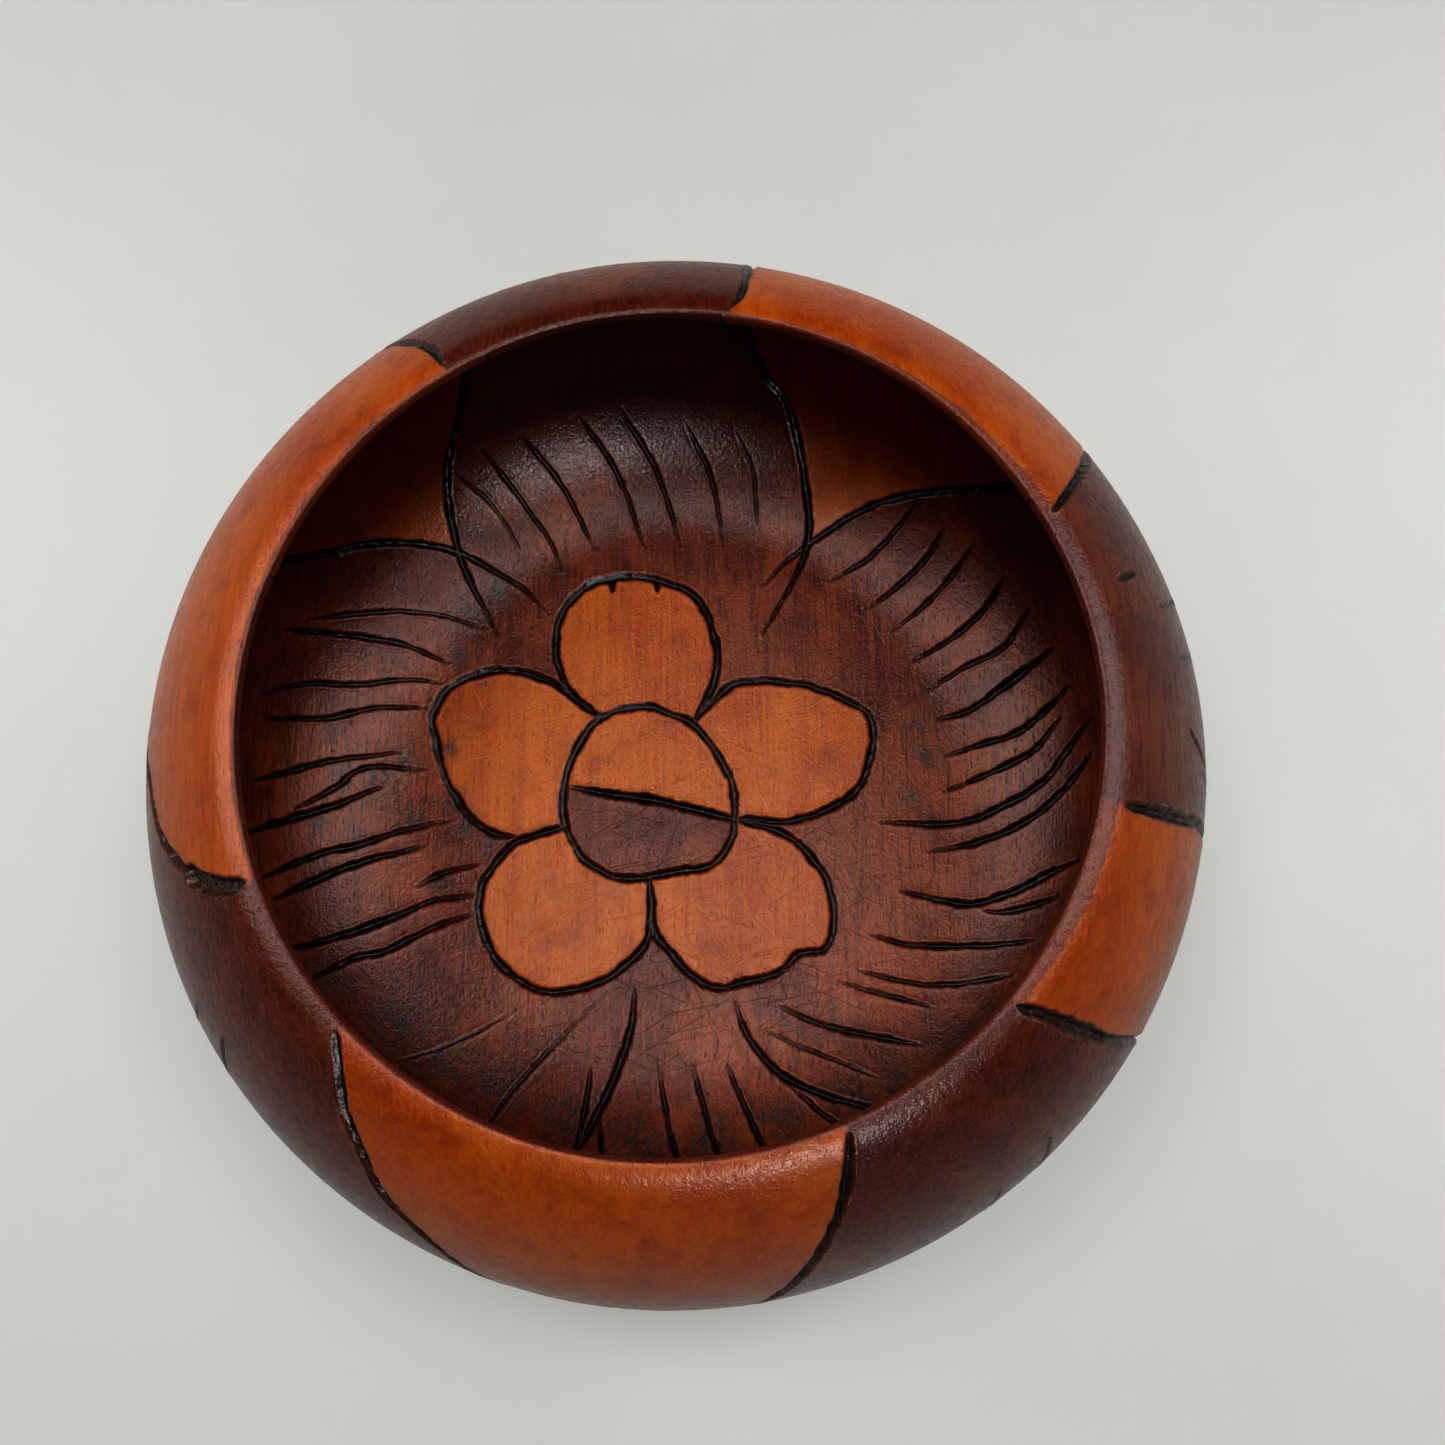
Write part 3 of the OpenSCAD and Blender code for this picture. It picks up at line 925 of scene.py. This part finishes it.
def wood_material():
    """Lacquered reddish wood, bare or stained dark, burned black in the cuts."""
    n = Nodes("carved_wood")
    p = Pattern(n)
    uneven = n.math("ADD", p.light, n.math("MULTIPLY_ADD", p.speck, 0.5, -0.25))
    is_bare = n.remap(uneven, -0.25, 0.25)
    wood = n.mix(is_bare, stained_wood(n, p), bare_wood(n, p))
    wood = n.mix(n.math("MULTIPLY", p.pores, 0.5), wood, colour(0.05, 0.012, 0.006))

    # The floor is the most scratched
    scratch = n.math("MULTIPLY", scratches(n, p.place), n.remap(p.along, -110.0, -95.0, 1.0, 0.12))
    scratch_show = n.math("MULTIPLY", scratch, n.remap(is_bare, 0.0, 1.0, 0.22, 0.55))
    wood = n.mix(scratch_show, wood, n.mix(is_bare, colour(0.25, 0.12, 0.09), colour(0.75, 0.30, 0.12)))
    wood = lip_band(n, p, wood)

    smoky = n.remap(n.noise(n.stretched(p.place, (1, 0.4, 1)), 0.8, 5.0, 0.75), 0.36, 0.56)
    smoke = n.math("MULTIPLY", p.soot, smoky)
    ash = n.mix(n.remap(p.speck, 0.42, 0.62), colour(0.014, 0.012, 0.011), colour(0.075, 0.073, 0.068))
    wood = n.mix(n.math("MULTIPLY", smoke, 0.9), wood, ash)
    wood = burned_cuts(n, p, wood)

    bump = surface_relief(n, p, scratch)
    dull = n.remap(n.noise(p.place, 0.5, 4.0, 0.65), 0.3, 0.75, 0.34, 0.5)
    dull = n.math("ADD", dull, n.math("MULTIPLY", smoke, 0.2))
    return n.finished({
        "Base Color": wood,
        "Roughness": dull,
        "Normal": bump,
        "Specular IOR Level": 0.05,
        "Coat Weight": 0.45,
        "Coat Roughness": 0.16,
        "Coat Normal": bump,
    })


def table_material():
    """A pale painted table top."""
    n = Nodes("pale_table")
    coords = n.node("ShaderNodeTexCoord").outputs["Object"]
    tone = n.remap(n.noise(coords, 6.0, 4.0, 0.6), 0.3, 0.7)
    paint = n.mix(tone, colour(0.525, 0.522, 0.50), colour(0.55, 0.547, 0.525))
    return n.finished({"Base Color": paint, "Roughness": 0.55})


# ---------------------------------------------------------------- stage

# Every lamp faces this point from this distance
LAMP_AIM = Vector((0, 0, 0.05))
LAMP_DISTANCE = 1.5
WARM = (1.0, 0.985, 0.96)
COOL = (0.97, 0.985, 1.0)


def add_table():
    """A plain square floor under the bowl."""
    half = 3.0
    corners = [(-half, -half, 0), (half, -half, 0), (half, half, 0), (-half, half, 0)]
    mesh = bpy.data.meshes.new("table")
    mesh.from_pydata(corners, [], [(0, 1, 2, 3)])
    table = bpy.data.objects.new("table", mesh)
    bpy.context.scene.collection.objects.link(table)
    table.data.materials.append(table_material())


def add_light(name, lean, turn, width, power, tint, gloss=True, fill=True):
    """A soft round lamp that faces the bowl, lean degrees from straight up.

    gloss says whether it shows in reflections, fill whether it lights the colour of a surface.
    """
    lean, turn = math.radians(lean), math.radians(turn)
    way = Vector((math.sin(lean) * math.cos(turn), math.sin(lean) * math.sin(turn), math.cos(lean)))
    data = bpy.data.lights.new(name, "AREA")
    data.shape = "DISK"
    data.size = width
    data.energy = power
    data.color = tint
    lamp = bpy.data.objects.new(name, data)
    lamp.visible_glossy = gloss
    lamp.visible_diffuse = fill
    lamp.location = LAMP_AIM + way * LAMP_DISTANCE
    lamp.rotation_mode = "QUATERNION"
    lamp.rotation_quaternion = (-way).to_track_quat("-Z", "Y")
    bpy.context.scene.collection.objects.link(lamp)


def add_camera():
    """A hand-held view from nearly straight above, leaning to the viewer's side."""
    elevation = math.radians(77.42)
    distance = 0.2652
    roll = math.radians(-0.97)
    target = Vector((0.0087, 0.0042, 0.0597))
    back = Vector((0, -math.cos(elevation), math.sin(elevation)))
    data = bpy.data.cameras.new("camera")
    data.sensor_width = 36
    data.lens = 36.02
    data.clip_start = 0.01
    camera = bpy.data.objects.new("camera", data)
    look = back.to_track_quat("Z", "Y").to_matrix().to_4x4()
    camera.matrix_world = Matrix.Translation(target + back * distance) @ look @ Matrix.Rotation(roll, 4, "Z")
    bpy.context.scene.collection.objects.link(camera)
    bpy.context.scene.camera = camera


def add_surroundings():
    """A dim room with soft lamps, and reflectors that make the lacquer shine."""
    world = bpy.data.worlds.new("room")
    world.use_nodes = True
    background = world.node_tree.nodes["Background"]
    background.inputs["Color"].default_value = (0.93, 0.96, 1.0, 1)
    background.inputs["Strength"].default_value = 0.012
    bpy.context.scene.world = world
    # Name, degrees from straight up, turn, width, power, tint
    add_light("overhead", 4, -80, 0.5, 7.4, WARM)
    add_light("ceiling_right", 20, 30, 0.5, 4.3, WARM, gloss=False)
    add_light("ceiling_left", 20, 150, 0.5, 3.7, WARM, gloss=False)
    add_light("low_right", 68, 22, 0.9, 2.6, COOL, gloss=False)
    add_light("low_back", 68, 112, 0.9, 3.0, COOL, gloss=False)
    add_light("low_left", 68, 157, 0.9, 3.6, COOL, gloss=False)
    # Reflectors that only show in the lacquer
    add_light("side_right", 42, 12, 1.4, 21, COOL, fill=False)
    add_light("side_left", 42, 168, 1.4, 21, COOL, fill=False)
    add_light("window", 50, -72, 0.4, 14, COOL, fill=False)


bowl = build_bowl()
bowl.data.materials.append(wood_material())
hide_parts("bowl")
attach(bowl, "root")
add_table()
add_surroundings()
add_camera()
bpy.context.scene.view_settings.view_transform = "Standard"
bpy.context.scene.view_settings.look = "High Contrast"
